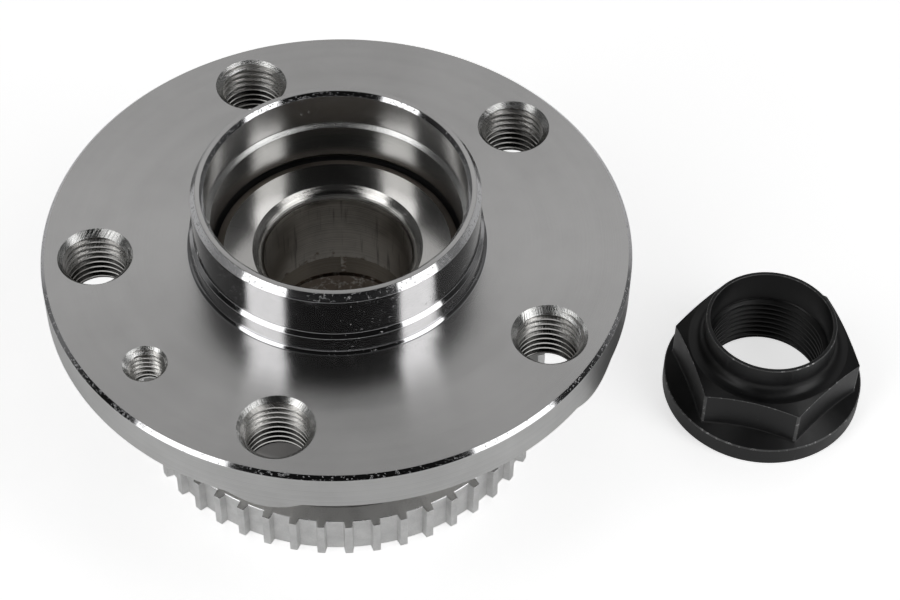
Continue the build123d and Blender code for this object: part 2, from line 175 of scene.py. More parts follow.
def machined(name, colour, roughness, feed=0.00016, depth=0.25, spread=0.8, film=0.0, mottle=0.06, nicks=0.0,
             nick_at=0.87):
    """Lathe-turned or ground steel: fine marks round the axis smear each reflection across them.

    Feed is the marks' width, depth and spread are their bump and smear, film and mottle are how far oil
    roughens and darkens the steel, and nicks is the bump of small dents, fewer with a higher nick_at.
    """
    material, shader = blank(name)
    shader.inputs["Metallic"].default_value = 1
    shader.inputs["Anisotropic"].default_value = spread
    shader.inputs["Anisotropic Rotation"].default_value = 0.25
    point, radius, height = place_in(material)
    across = node(material, "Math", {0: height, 1: mark_skew, 2: radius}, operation="MULTIPLY_ADD").outputs[0]
    fine = node(material, "TexNoise", {"W": across, "Scale": 1 / feed, "Detail": 3, "Roughness": 0.6},
                noise_dimensions="1D")
    broad = node(material, "TexNoise", {"W": across, "Scale": 0.07 / feed, "Detail": 2},
                 noise_dimensions="1D")
    cloud = node(material, "TexNoise", {"Vector": point, "Scale": 70, "Detail": 4, "Roughness": 0.6})
    grain = node(material, "TexNoise", {"Vector": point, "Scale": 2600, "Detail": 2})
    marks = node(material, "Math", {0: broad.outputs["Fac"], 1: 0.5, 2: fine.outputs["Fac"]},
                 operation="MULTIPLY_ADD")
    rough = node(material, "MapRange", {0: marks.outputs[0], 1: 0.45, 2: 1.05,
                                        3: roughness * 0.9, 4: roughness * 1.1})
    stain = node(material, "MapRange", {0: cloud.outputs["Fac"], 1: 0.3, 2: 0.7, 3: 0.0, 4: 1.0})
    rougher = node(material, "Math", {0: stain.outputs[0], 1: roughness * film, 2: rough.outputs[0]},
                   operation="MULTIPLY_ADD")
    dark = tuple(c * (1 - mottle * 2) for c in colour)
    light = tuple(min(1, c * (1 + mottle)) for c in colour)
    tone = node(material, "Math", {0: stain.outputs[0], 1: 0.6, 2: fine.outputs["Fac"]},
                operation="MULTIPLY_ADD")
    shade = ramp(material, tone.outputs[0], [(0.35, dark), (1.1, light)])
    bump = node(material, "Bump", {"Strength": depth, "Distance": feed * 0.25, "Height": fine.outputs["Fac"]})
    pits = node(material, "Bump", {"Strength": depth * 0.2, "Distance": feed * 0.15,
                                   "Height": grain.outputs["Fac"], "Normal": bump.outputs[0]})
    normal = pits.outputs[0]
    if nicks:
        knock = node(material, "TexNoise", {"Vector": point, "Scale": 1500, "Detail": 3, "Roughness": 0.7})
        patch = node(material, "Math", {0: cloud.outputs["Fac"], 1: 0.35, 2: knock.outputs["Fac"]},
                     operation="MULTIPLY_ADD")
        dent = node(material, "MapRange", {0: patch.outputs[0], 1: nick_at, 2: nick_at + 0.04})
        normal = node(material, "Bump", {"Strength": nicks, "Distance": nick_depth, "Height": dent.outputs[0],
                                         "Normal": normal}, invert=True).outputs[0]
    lathe = node(material, "Tangent", {}, direction_type="RADIAL", axis="Z")
    plug(material, shader, Base_Color=shade, Roughness=rougher.outputs[0], Normal=normal,
         Tangent=lathe.outputs[0])
    return material


def overlay(material, mask, shade):
    """Lays another shade over a finish where a mask is 1."""
    shader = material.node_tree.nodes["Principled BSDF"]
    under = shader.inputs["Base Color"].links[0].from_socket
    over = node(material, "Mix", {0: mask, 6: under, 7: (*shade, 1)}, data_type="RGBA")
    plug(material, shader, Base_Color=over.outputs[2])


ring_low, ring_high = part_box("inner_ring_outboard")
land_r = ring_high.x
ring_face_z = ring_high.z
joint_z = ring_low.z
spindle_r = 0.0150
ring_band_w = 0.0016
ring_band_h = 0.0005
ring_mouth_r = 0.0174
ring_mouth_h = 0.0016
ring_mouth_round = 0.0034
streak_w = 0.0008
stain_h = 0.0075
clip_seat_r = 0.01555
clip_seat_h = 0.00305
snap_r = 0.0222
row_drop = 0.01450
ball_groove_r = 0.00495
groove_offset_r = 0.02636
ground_edge = 0.00012
land_edge = 0.0002
snap_round = 0.0003
near = 1.01
face_tilt = 0.97
groove_turns = range(-72, 33, 8)

ground = machined("ground_bearing_steel", (0.57, 0.56, 0.545), 0.13, feed=0.00012, depth=0.15, film=0.5)
ring_band = machined("dull_ring_band", (0.27, 0.24, 0.21), 0.42, feed=0.0002, depth=0.7, spread=0.4, film=0.6)
ring_bore = machined("oiled_ring_bore", (0.48, 0.46, 0.425), 0.3, feed=0.0002, depth=0.4, spread=0.6,
                     film=0.8, mottle=0.25)
ring_mouth = machined("turned_ring_mouth", (0.58, 0.57, 0.55), 0.17, feed=0.00025, depth=0.5, spread=0.4,
                      mottle=0.2, nicks=0.5)

# Oil has run down the bore in dark streaks, and the bore is darker and browner in mottled patches towards the
# clip.
bore_point, _, bore_height = place_in(ring_bore)
drawn = node(ring_bore, "VectorMath", {0: bore_point, 1: (1, 1, 0.07)}, operation="MULTIPLY").outputs[0]
run = node(ring_bore, "TexNoise", {"Vector": drawn, "Scale": 1 / streak_w, "Detail": 2}).outputs["Fac"]
overlay(ring_bore, ramp(ring_bore, run, [(0.58, 0.0), (0.72, 0.55)]), (0.12, 0.11, 0.1))
low_down = node(ring_bore, "MapRange", {0: bore_height, 1: joint_z + stain_h, 2: joint_z, 3: 0.0, 4: 0.35})
blot = node(ring_bore, "TexNoise", {"Vector": bore_point, "Scale": 600, "Detail": 5, "Roughness": 0.7})
browner_low = node(ring_bore, "Math", {0: blot.outputs["Fac"], 1: low_down.outputs[0]}, operation="ADD").outputs[0]
overlay(ring_bore, ramp(ring_bore, browner_low, [(0.72, 0.0), (0.82, 0.85)]), (0.16, 0.12, 0.09))


def inner_ring(name, node_name, side):
    """One inner ring. Side is 1 for the outboard ring and -1 for the inboard one, its mirror image."""
    face = joint_z + side * (ring_face_z - joint_z)
    row = face - side * row_drop
    groove = []
    for turn in groove_turns:
        groove.append((groove_offset_r - ball_groove_r * cos(radians(turn)),
                       row - side * ball_groove_r * sin(radians(turn))))
    outline = [
        (spindle_r, joint_z + side * clip_seat_h),
        (spindle_r, face - side * ring_mouth_h, ring_mouth_round),
        (ring_mouth_r, face),
        (land_r - ring_band_w, face, ground_edge),
        (land_r, face - side * ring_band_h, land_edge),
        *groove,
        (snap_r, joint_z, snap_round),
        (clip_seat_r, joint_z),
        (clip_seat_r, joint_z + side * clip_seat_h),
    ]
    piece = turned(name, outline if side < 0 else outline[::-1], around=300)
    even_shading(piece)
    finish_with(piece, ground, ring_band, ring_bore, ring_mouth)
    band_r = land_r - ring_band_w
    zone(piece, ring_band, lambda r, z, n: r > band_r and abs(z - face) < ring_band_h * 1.1)
    zone(piece, ring_mouth, lambda r, z, n: r < ring_mouth_r and abs(n.z) < face_tilt)
    zone(piece, ring_bore, lambda r, z, n: r < spindle_r * near)
    zone(piece, ring_bore, lambda r, z, n: r < clip_seat_r * near and abs(z - joint_z) < clip_seat_h)
    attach(piece, "inner_race")
    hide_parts(node_name)
    return piece


inner_ring("inner_ring_outboard_ground", "inner_ring_outboard", 1)
inner_ring("inner_ring_inboard_ground", "inner_ring_inboard", -1)

# Joining clip of the two inner rings: a rolled spring-steel sleeve, sprung into the seat that both
# rings share inside the bore. Only its edges show, as thin lines down the bore.
clip_finish = machined("rolled_clip_steel", (0.3, 0.27, 0.23), 0.35, film=0.8, mottle=0.25)
finish_with(cad_node["inner_ring_clip"], clip_finish)

# Balls and cages: polished chrome-steel balls in moulded glass-filled nylon cages, packed in grease.
# They close inside the bearing behind the seals, so their frame shapes stay as they are.
ball_finish = machined("polished_ball_steel", (0.72, 0.72, 0.71), 0.06, depth=0.05, spread=0.0)
mould_grain_h = 0.00005


def moulded(name, colour, roughness, grain_size, depth):
    """Moulded rubber or plastic, with a fine matt grain and slightly worn patches."""
    material, shader = blank(name)
    point = node(material, "TexCoord", {}).outputs["Object"]
    grain = node(material, "TexNoise", {"Vector": point, "Scale": 1 / grain_size, "Detail": 3})
    cloud = node(material, "TexNoise", {"Vector": point, "Scale": 120, "Detail": 3})
    shade = ramp(material, cloud.outputs["Fac"], [(0.3, tuple(c * 0.75 for c in colour)),
                                                  (0.75, tuple(c * 1.5 for c in colour))])
    rough = node(material, "MapRange", {0: cloud.outputs["Fac"], 3: roughness * 0.85, 4: roughness * 1.15})
    bump = node(material, "Bump", {"Strength": depth, "Distance": mould_grain_h,
                                   "Height": grain.outputs["Fac"]})
    plug(material, shader, Base_Color=shade, Roughness=rough.outputs[0], Normal=bump.outputs[0])
    return material


cage_finish = moulded("cage_nylon", (0.06, 0.055, 0.05), 0.5, 0.0004, 0.3)
for name, piece in cad_node.items():
    if name.startswith("ball_"):
        finish_with(piece, ball_finish)
    if name.startswith("cage_"):
        finish_with(piece, cage_finish)

# Outer ring of the bearing: one ground ring with both raceways, pressed into the hub's barrel.
# Only its inboard rim shows, from below.
finish_with(cad_node["bearing_outer_ring"], ground)

# Seals: pressed steel cases and slinger, zinc-coloured, with black nitrile lips bonded to the cases.
# The outboard lip is the dark line round the inner ring's face.
seal_metal = machined("pressed_seal_steel", (0.46, 0.44, 0.4), 0.34, film=0.8, mottle=0.15, spread=0.3)
seal_rubber = moulded("seal_rubber", (0.018, 0.018, 0.018), 0.55, 0.0002, 0.3)
for name in ("seal_outboard_case", "seal_inboard_case", "seal_inboard_slinger"):
    finish_with(cad_node[name], seal_metal)
for name in ("seal_outboard_lip", "seal_inboard_lip"):
    finish_with(cad_node[name], seal_rubber)

# Hub: a steel forging with bosses behind the wheel bolt holes. Flange, edge, spigot and barrel are
# turned, the spigot's seats are smoother, and their edges carry small nicks. Each hole is drilled,
# sunk at 45 degrees and tapped with a standard metric thread.
hub_low, hub_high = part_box("hub_flange")
flange_r = hub_high.x
spigot_top = hub_high.z
barrel_base = hub_low.z
flange_t = 0.0087
flange_edge = 0.0008
boss_foot_r = 0.0128
boss_tip_r = 0.0084
boss_h = 0.0049
boss_round = 0.0008
pilot_r = 0.0290
disc_pilot_r = 0.0298
pilot_step_z = 0.0050
pilot_lead_h = 0.00155
pilot_lead_r = 0.0010
cap_bore_r = 0.0263
cap_bore_edge = 0.00075
cap_ledge_z = 0.0074
lip_bore_r = 0.0255
lip_base_z = -0.0013
seat_z = -0.0030
bearing_seat_r = 0.0340
groove_bottom_r = 0.0356
groove_top_z = -0.0439
groove_base_z = -0.0460
barrel_root_r = 0.0415
barrel_end_r = 0.0389
root_round = 0.0050
edge_break = 0.00012
bolt_circle_r = 0.0490
bolt_count = 5
bolt_first_angle = radians(-28.9)
bolt_d = 0.0140
bolt_pitch = 0.0015
bolt_mouth_r = 0.0076
bolt_drill_r = 0.0063
screw_angle = radians(-136.9)
screw_d = 0.0080
screw_pitch = 0.00125
screw_mouth_r = 0.00445
screw_drill_r = 0.00342
spigot_foot = 0.0006
spigot_foot_round = 0.0005
spigot_step_round = 0.0003
stock_r = flange_r * 1.05

tone_low, tone_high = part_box("tone_ring")
tone_seat_r = 0.0385
hub_outline = [
    (cap_bore_r, spigot_top - cap_bore_edge, edge_break),
    (cap_bore_r, cap_ledge_z, edge_break),
    (lip_bore_r, cap_ledge_z - (cap_bore_r - lip_bore_r), edge_break),
    (lip_bore_r, lip_base_z, edge_break),
    (lip_bore_r + lip_base_z - seat_z, seat_z),
    (bearing_seat_r, seat_z),
    (bearing_seat_r, groove_top_z),
    (groove_bottom_r, groove_top_z),
    (groove_bottom_r, groove_base_z),
    (bearing_seat_r, groove_base_z, edge_break),
    (bearing_seat_r, barrel_base + flange_edge, edge_break),
    (bearing_seat_r + flange_edge, barrel_base, edge_break),
    (tone_seat_r - flange_edge / 2, barrel_base, edge_break),
    (tone_seat_r, barrel_base + flange_edge / 2, edge_break),
    (tone_seat_r, tone_high.z),
    (barrel_end_r, tone_high.z),
    (barrel_root_r, -flange_t, root_round),
    (stock_r, -flange_t),
    (stock_r, 0),
    (disc_pilot_r + spigot_foot, 0, spigot_foot_round),
    (disc_pilot_r, spigot_foot, spigot_step_round),
    (disc_pilot_r, pilot_step_z - (disc_pilot_r - pilot_r), spigot_step_round),
    (pilot_r, pilot_step_z, spigot_step_round),
    (pilot_r, spigot_top - pilot_lead_h, edge_break),
    (pilot_r - pilot_lead_r, spigot_top, edge_break),
    (cap_bore_r + cap_bore_edge, spigot_top, edge_break),
]
hub = turned("hub_forging", hub_outline)


def work(piece, tool, operation):
    """Joins, cuts or trims a piece with a tool's shape, and scraps the tool."""
    step = piece.modifiers.new("work", "BOOLEAN")
    step.operation = operation
    step.solver = "EXACT"
    step.object = tool
    worked = bpy.data.meshes.new_from_object(piece.evaluated_get(bpy.context.evaluated_depsgraph_get()))
    piece.modifiers.remove(step)
    piece.data = worked
    bpy.data.objects.remove(tool)


hole_steps = 128


def plug_shape(name, outline, centre, around=hole_steps):
    """Solid turned about an upright axis through a centre, from an outline that starts and ends on it."""
    turns = [2 * pi * j / around for j in range(around)]
    path = rounded(outline)
    rings = [[(centre[0] + p.x * cos(a), centre[1] + p.x * sin(a), p.y) for a in turns] for p in path]
    mesh = ring_mesh(name, rings, closed=False)
    caps = [list(range(around))[::-1], [(len(rings) - 1) * around + j for j in range(around)]]
    points = [v.co[:] for v in mesh.vertices]
    faces = [tuple(f.vertices) for f in mesh.polygons] + caps
    solid = bpy.data.meshes.new(name)
    solid.from_pydata(points, [], faces)
    return add(name, solid)


bolt_places = []
for k in range(bolt_count):
    turn = bolt_first_angle + k * 2 * pi / bolt_count
    bolt_places.append((bolt_circle_r * cos(turn), bolt_circle_r * sin(turn)))
screw_place = (bolt_circle_r * cos(screw_angle), bolt_circle_r * sin(screw_angle))
boss_base = -flange_t - boss_h
core_r = 0.001

for place in bolt_places:
    boss = [
        (core_r, boss_base),
        (boss_tip_r, boss_base, boss_round),
        (boss_foot_r, -flange_t),
        (boss_foot_r, -flange_t / 2),
        (core_r, -flange_t / 2),
    ]
    work(hub, plug_shape("boss", boss, place, around=160), "UNION")
past_base = barrel_base * 1.1
past_top = spigot_top * 1.5
rim = [
    (core_r, past_base),
    (flange_r, past_base),
    (flange_r, -flange_edge, edge_break),
    (flange_r - flange_edge, 0, edge_break),
    (flange_r - flange_edge, past_top),
    (core_r, past_top),
]
work(hub, plug_shape("rim", rim, (0, 0), around=480), "INTERSECT")


def away(point, place):
    """Distance of a point from an upright axis."""
    return ((point[0] - place[0]) ** 2 + (point[1] - place[1]) ** 2) ** 0.5


# A standard thread's depth, half its crest and the width of one flank, as shares of its pitch.
thread_depth = 0.5413
crest_half = 0.125
flank_run = 0.3125
flank_steps = 5
spare_turns = 4
cone_gap = 0.00005
crest_gap = 0.00003


def thread_wall(name, place, nominal_d, pitch, top, top_r, base, base_r, turns, start=0.0):
    """Wall of a tapped hole: a right-hand inside thread that ends in a cone above and below."""
    major_r = nominal_d / 2
    minor_r = major_r - thread_depth * pitch
    flank = [(crest_half + flank_run * k / flank_steps, k / flank_steps) for k in range(flank_steps + 1)]
    profile = [(0.0, 0.0)] + flank + [(1 - share, depth) for share, depth in flank[::-1]]
    per_pitch = len(profile)
    count = len(turns)
    rows = per_pitch * (int((top - base) / pitch) + spare_turns)
    points = []
    for k in range(rows):
        share, depth = profile[k % per_pitch]
        for turn in turns:
            z = top + pitch * (turn / (2 * pi) - k // per_pitch - share + start)
            z = min(top, max(base, z))
            r = max(minor_r + depth * (major_r - minor_r), top_r - (top - z))
            r = min(max(r, base_r - (z - base)), base_r + (z - base))
            points.append((place[0] + r * cos(turn), place[1] + r * sin(turn), z))
    faces = []
    for k in range(rows - 1):
        for j in range(count - 1):
            here = k * count + j
            faces.append((here, here + 1, here + count + 1, here + count))
        beside = max(0, k - per_pitch) * count
        under = max(0, k + 1 - per_pitch) * count
        faces.append((k * count + count - 1, beside, under, (k + 1) * count + count - 1))
    mesh = bpy.data.meshes.new(name)
    mesh.from_pydata(points, [], faces)
    for face in mesh.polygons:
        r = away(face.center, place)
        on_cone = abs(top_r - (top - face.center.z) - r) < cone_gap
        face.material_index = 2 if on_cone else 1 if r > minor_r + crest_gap else 0
    return mesh


weld_gap = 0.000002
most_sides = 6


def weld(piece, walls, first, unwanted=None):
    """Joins walls to a piece, fills pinholes, and smooths it. The walls' materials start at the first one."""
    first_slot = piece.data.materials.find(first.name)
    shape = bmesh.new()
    shape.from_mesh(piece.data)
    if unwanted:
        bmesh.ops.delete(shape, geom=[face for face in shape.faces if unwanted(face)], context="FACES")
    for wall in walls:
        for face in wall.polygons:
            face.material_index += first_slot
        shape.from_mesh(wall)
        bpy.data.meshes.remove(wall)
    bmesh.ops.remove_doubles(shape, verts=shape.verts, dist=weld_gap)
    rims = [edge for edge in shape.edges if edge.is_boundary]
    bmesh.ops.holes_fill(shape, edges=rims, sides=most_sides)
    bmesh.ops.recalc_face_normals(shape, faces=shape.faces)
    shape.to_mesh(piece.data)
    shape.free()
    piece.data.shade_smooth()
    piece.data.set_sharp_from_angle(angle=sharp_angle)


full_turn = [2 * pi * j / hole_steps for j in range(hole_steps)]
lip = 0.0001
runout = 0.0004
past_mouth = 0.002
turn_on = 0.37
holes = [(place, bolt_d, bolt_pitch, bolt_mouth_r, bolt_drill_r, boss_base) for place in bolt_places]
holes.append((screw_place, screw_d, screw_pitch, screw_mouth_r, screw_drill_r, -flange_t))
walls = []
for k, (place, d, pitch, mouth_r, drill_r, base) in enumerate(holes):
    drill = [
        (core_r, base * 1.3),
        (drill_r, base * 1.3),
        (drill_r, base + runout),
        (mouth_r - lip, -lip),
        (mouth_r + past_mouth, past_mouth),
        (core_r, past_mouth),
    ]
    work(hub, plug_shape("drill", drill, place), "DIFFERENCE")
    walls.append(thread_wall("tapped_wall", place, d, pitch, -lip, mouth_r - lip, base + runout, drill_r,
                             full_turn, start=turn_on * k % 1))


def drilled(face):
    """Says whether a face is the plain wall of one of the drilled holes."""
    middle = face.calc_center_median()
    for place, _, _, mouth_r, _, base in holes:
        if away(middle, place) < mouth_r and base + runout < middle.z < -lip:
            return True
    return False


flange_face = machined("turned_flange_face", (0.56, 0.555, 0.55), 0.19, feed=0.00022, depth=0.15, spread=1.0,
                       mottle=0.03)
spigot_seat = machined("fine_turned_seat", (0.66, 0.66, 0.67), 0.1, feed=0.00016, depth=0.08, spread=0.5,
                       nicks=0.6)
nicked_edge = machined("nicked_edge", (0.66, 0.66, 0.67), 0.1, feed=0.00016, depth=0.08, spread=0.5,
                       nicks=1.0, nick_at=0.79)
cap_bore = machined("turned_cap_bore", (0.7, 0.7, 0.7), 0.2, feed=0.0002, depth=0.2, spread=0.85, nicks=0.3)
lip_bore = machined("turned_lip_bore", (0.47, 0.47, 0.465), 0.24, feed=0.0002, depth=0.2, spread=0.6,
                    nicks=0.3)
rim_wall = machined("turned_rim_wall", (0.6, 0.6, 0.595), 0.34, feed=0.0003, depth=0.25, spread=0.5)
back_face = machined("turned_back", (0.5, 0.49, 0.48), 0.4, feed=0.0003, depth=0.4, spread=0.6, film=0.4)
# The thread crests are painted lighter than the steel, as a painted highlight, and the flanks darker, as
# painted shade between the crests and from oil.
thread_crest_painted_highlight = machined("thread_crest_painted_highlight", (0.85, 0.84, 0.82), 0.3, feed=0.0002, depth=0.3, spread=0.0)
thread_flank = machined("thread_flank_oil_and_painted_shade", (0.56, 0.55, 0.53), 0.28, feed=0.0002, depth=0.4, spread=0.0,
                        mottle=0.3, nicks=1.0)
sunk_mouth = machined("sunk_hole_mouth", (0.62, 0.62, 0.61), 0.25, feed=0.0002, depth=0.9, spread=0.0,
                      mottle=0.15, nicks=0.9)
finish_with(hub, flange_face, spigot_seat, lip_bore, rim_wall, back_face, thread_crest_painted_highlight, thread_flank,
            sunk_mouth, cap_bore, nicked_edge)

# Painted shade: the barrel is darker near the flange, in the flange's shadow, and the thread flanks are
# darker below the first turns, as painted shade deeper in the holes and from oil lying there.
flange_shade_low_z = -0.0265
flange_shade_full_z = -0.0215
hole_shade_top_z = -0.0052
hole_shade_full_z = -0.0085
under_flange_shade = node(back_face, "MapRange", {0: place_in(back_face)[2], 1: flange_shade_low_z, 2: flange_shade_full_z})
overlay(back_face, under_flange_shade.outputs[0], (0.2, 0.195, 0.19))
# Painted shade with oil: the thread flanks grow darker below the first turns, deeper in the holes.
deep_hole_shade_and_oil = node(thread_flank, "MapRange", {0: place_in(thread_flank)[2], 1: hole_shade_top_z, 2: hole_shade_full_z})
overlay(thread_flank, deep_hole_shade_and_oil.outputs[0], (0.045, 0.044, 0.042))

# Walls, chamfers and level faces are told apart by their radius, height and tilt.
wall_tilt = 0.2
edge_tilt = 0.3
level_tilt = 0.9
face_gap = 0.00001
bore_reach_r = cap_bore_r * 1.001
edge_reach_r = flange_r - flange_edge * 1.2
rim_reach_r = flange_r * 0.99
ledge_base_z = cap_ledge_z - 0.001
back_z = -flange_t * 0.99
for face in hub.data.polygons:
    face.material_index = 0
zone(hub, spigot_seat, lambda r, z, n: face_gap < z < spigot_top - face_gap)
zone(hub, spigot_seat, lambda r, z, n: r > edge_reach_r and n.z < level_tilt)
zone(hub, lip_bore, lambda r, z, n: r < bore_reach_r and abs(n.z) < wall_tilt)
zone(hub, cap_bore, lambda r, z, n: r < bore_reach_r and z > cap_ledge_z and abs(n.z) < wall_tilt)
zone(hub, rim_wall, lambda r, z, n: r > rim_reach_r and abs(n.z) < edge_tilt)
zone(hub, nicked_edge, lambda r, z, n: edge_tilt < n.z < level_tilt and (r > edge_reach_r or z > cap_ledge_z))
zone(hub, sunk_mouth, lambda r, z, n: r < cap_bore_r and ledge_base_z < z < cap_ledge_z and n.z > edge_tilt)
zone(hub, back_face, lambda r, z, n: z < back_z or n.z < -level_tilt)
for face in hub.data.polygons:
    for place, _, _, mouth_r, _, base in holes:
        in_hole = away(face.center, place) < mouth_r and base * 0.98 < face.center.z < 0
        if in_hole and face.normal.z < level_tilt:
            face.material_index = hub.data.materials.find(sunk_mouth.name)
weld(hub, walls, thread_crest_painted_highlight, drilled)
even_shading(hub)
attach(hub, "hub")
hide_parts("hub_flange")

# Retaining ring: punched spring steel with two holed ears, black from its phosphate bath. It is
# sprung into the barrel's groove, under the bearing's outer ring.
retaining_finish = moulded("black_spring_steel", (0.035, 0.035, 0.037), 0.4, 0.0003, 0.3)
finish_with(cad_node["retaining_ring"], retaining_finish)

# Toothed ring for the wheel-speed sensor: pressed and sintered from iron powder, with square-cut
# teeth, then zinc plated to a matt silver. It is pressed on the barrel up to the step.
tooth_count = 48
tooth_first = radians(4.67)
tooth_h = 0.00155
tip_w = 0.00165
foot_w = 0.00215
plate_edge = 0.0002
bore_edge = 0.0005
tone_wall = 0.0041
tone_tip_r = tone_seat_r + tone_wall + tooth_h
tone_root_r = tone_tip_r - tooth_h
gap_steps = (0.08, 0.3, 0.5, 0.7, 0.92)
ease = 0.3


def tooth_outline(inset):
    """Outline of the toothed ring, drawn in by a small inset, counterclockwise from the first tooth."""
    outline = []
    foot = atan2(foot_w / 2, tone_root_r)
    gap = 2 * pi / tooth_count - 2 * foot
    for k in range(tooth_count):
        middle = tooth_first + k * 2 * pi / tooth_count
        half_tip = tip_w / 2 - inset
        tip = tone_tip_r - inset
        side = [
            (tone_root_r - inset, foot_w / 2 - inset),
            (tip - plate_edge, half_tip),
            (tip - plate_edge * ease, half_tip - plate_edge * ease),
            (tip, half_tip - plate_edge),
        ]
        for out, over in [(out, -over) for out, over in side] + side[::-1]:
            outline.append((out * cos(middle) - over * sin(middle), out * sin(middle) + over * cos(middle)))
        for step in gap_steps:
            turn = middle + foot + gap * step
            outline.append(((tone_root_r - inset) * cos(turn), (tone_root_r - inset) * sin(turn)))
    return outline


def level_ring(outline, z):
    """The outline at a height."""
    return [(x, y, z) for x, y in outline]


def bore_ring(outline, r, z):
    """A circle at a height, with its points on the outline's spokes."""
    return [(r * x / (x * x + y * y) ** 0.5, r * y / (x * x + y * y) ** 0.5, z) for x, y in outline]


full, eased, drawn_in = [tooth_outline(plate_edge * share) for share in (0, ease, 1)]
tone_rings = [
    level_ring(drawn_in, tone_low.z),
    level_ring(full, tone_low.z + plate_edge),
    level_ring(full, tone_high.z - plate_edge * 1.5),
    level_ring(eased, tone_high.z - plate_edge * 0.5),
    level_ring(drawn_in, tone_high.z),
    bore_ring(full, tone_seat_r + bore_edge, tone_high.z),
    bore_ring(full, tone_seat_r, tone_high.z - bore_edge),
    bore_ring(full, tone_seat_r, tone_low.z + plate_edge),
    bore_ring(full, tone_seat_r + plate_edge, tone_low.z),
]
tone_ring = add("sensor_tooth_ring", ring_mesh("sensor_tooth_ring", tone_rings))
even_shading(tone_ring)
pit_h = 0.00004


def sintered(name, colour, roughness, speck, metal=0.85):
    """Zinc-plated sintered iron: matt, finely pitted, with darker and lighter specks."""
    material, shader = blank(name)
    shader.inputs["Metallic"].default_value = metal
    point = node(material, "TexCoord", {}).outputs["Object"]
    grain = node(material, "TexNoise", {"Vector": point, "Scale": 3500, "Detail": 3, "Roughness": 0.7})
    cloud = node(material, "TexNoise", {"Vector": point, "Scale": 260, "Detail": 4})
    tone = node(material, "Math", {0: grain.outputs["Fac"], 1: speck, 2: cloud.outputs["Fac"]},
                operation="MULTIPLY_ADD")
    shade = ramp(material, tone.outputs[0], [(0.4, tuple(c * 0.72 for c in colour)), (0.95, colour)])
    rough = node(material, "MapRange", {0: cloud.outputs["Fac"], 1: 0.3, 2: 0.7,
                                        3: roughness * 0.85, 4: roughness * 1.1})
    bump = node(material, "Bump", {"Strength": 0.35, "Distance": pit_h, "Height": grain.outputs["Fac"]})
    plug(material, shader, Base_Color=shade, Roughness=rough.outputs[0], Normal=bump.outputs[0])
    return material


tooth_finish = sintered("zinc_on_sintered_iron", (0.86, 0.86, 0.855), 0.4, 0.5)
plate_finish = sintered("sintered_plate_face", (0.74, 0.74, 0.73), 0.5, 0.9)
# The teeth's top edges are painted nearly white, as a painted highlight along each edge; they are also
# smoother.
edge_highlight_finish = sintered("zinc_edge_painted_highlight", (0.98, 0.98, 0.98), 0.28, 0.2, metal=0.9)
finish_with(tone_ring, tooth_finish, plate_finish, edge_highlight_finish)
plate_tilt = 0.95
least_tilt = 0.1
tooth_reach_r = tone_root_r - 2 * plate_edge
zone(tone_ring, plate_finish, lambda r, z, n: abs(n.z) > plate_tilt)
zone(tone_ring, edge_highlight_finish, lambda r, z, n: r > tooth_reach_r and least_tilt < abs(n.z) < plate_tilt)
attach(tone_ring, "hub")
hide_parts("tone_ring")

# Spindle nut: a forged hexagon on a fixed washer, with a smooth thin collar that is staked into the
# spindle's slot once the nut is tight. Tapped, then blackened in a phosphate bath and oiled.
nut_low, nut_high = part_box("spindle_nut")
nut_place = ((nut_low.x + nut_high.x) / 2, (nut_low.y + nut_high.y) / 2)
nut_base = nut_low.z
washer_r = (nut_high.x - nut_low.x) / 2
corner_turn = radians(45.6)
nut_d = 0.0260
nut_pitch = 0.0015
nut_mouth_r = 0.01399
rim_h = 0.0044
rim_top = nut_base + rim_h
rim_foot_round = 0.00035
rim_round = 0.0005
cone_h = 0.0022
cone_round = 0.0005
hex_inset = 0.0175
hex_h = 0.0152
hex_top = nut_base + hex_h
hex_round = 0.00025
corner_round = 0.0004
bevel_slope = tan(radians(27))
bevel_w = 0.0004
bevel_end_r = hex_inset - bevel_w
bevel_round = 0.0003
collar_r = 0.01393
collar_round = 0.00025
collar_bore_r = 0.0131
collar_bore_round = 0.0002
collar_root_round = 0.0023
counterbore_h = 0.0009
thread_top = hex_top - counterbore_h
facet_steps = 24
crowding = 1.8


def hexagon_r(turn):
    """Radius of the hexagon in a direction, with its upright corners slightly rounded."""
    aside = (turn - corner_turn + pi / 6) % (pi / 3) - pi / 6
    centre_r = (hex_inset - corner_round) / cos(pi / 6)
    if centre_r * abs(sin(aside)) < corner_round / 2:
        arc_r = centre_r * cos(aside) + (corner_round ** 2 - (centre_r * sin(aside)) ** 2) ** 0.5
        if arc_r * abs(sin(aside)) < corner_round / 2:
            return arc_r
    return hex_inset / cos(pi / 6 - abs(aside))


nut_turns = []
for corner in range(6):
    for step in range(-facet_steps, facet_steps):
        offset = pi / 6 * abs(step / facet_steps) ** crowding
        nut_turns.append((corner_turn + corner * pi / 3 + (offset if step > 0 else -offset)) % (2 * pi))
nut_turns.sort()


def nut_section(turn):
    """Outline of the nut's skin in a direction, from the thread's lower mouth round to its upper end."""
    side_r = hexagon_r(turn)
    cone_top = rim_top + (washer_r - side_r) * cone_h / (washer_r - hex_inset)
    side_top = hex_top - (side_r - bevel_end_r) * bevel_slope
    return rounded([
        (nut_mouth_r, nut_base),
        (washer_r, nut_base, rim_foot_round),
        (washer_r, rim_top, rim_round),
        (side_r, cone_top, cone_round),
        (side_r, side_top, hex_round),
        (bevel_end_r, hex_top, bevel_round),
        (collar_r, hex_top, collar_root_round),
        (collar_r, nut_high.z, collar_round),
        (collar_bore_r, nut_high.z, collar_bore_round),
        (collar_bore_r, thread_top),
    ])


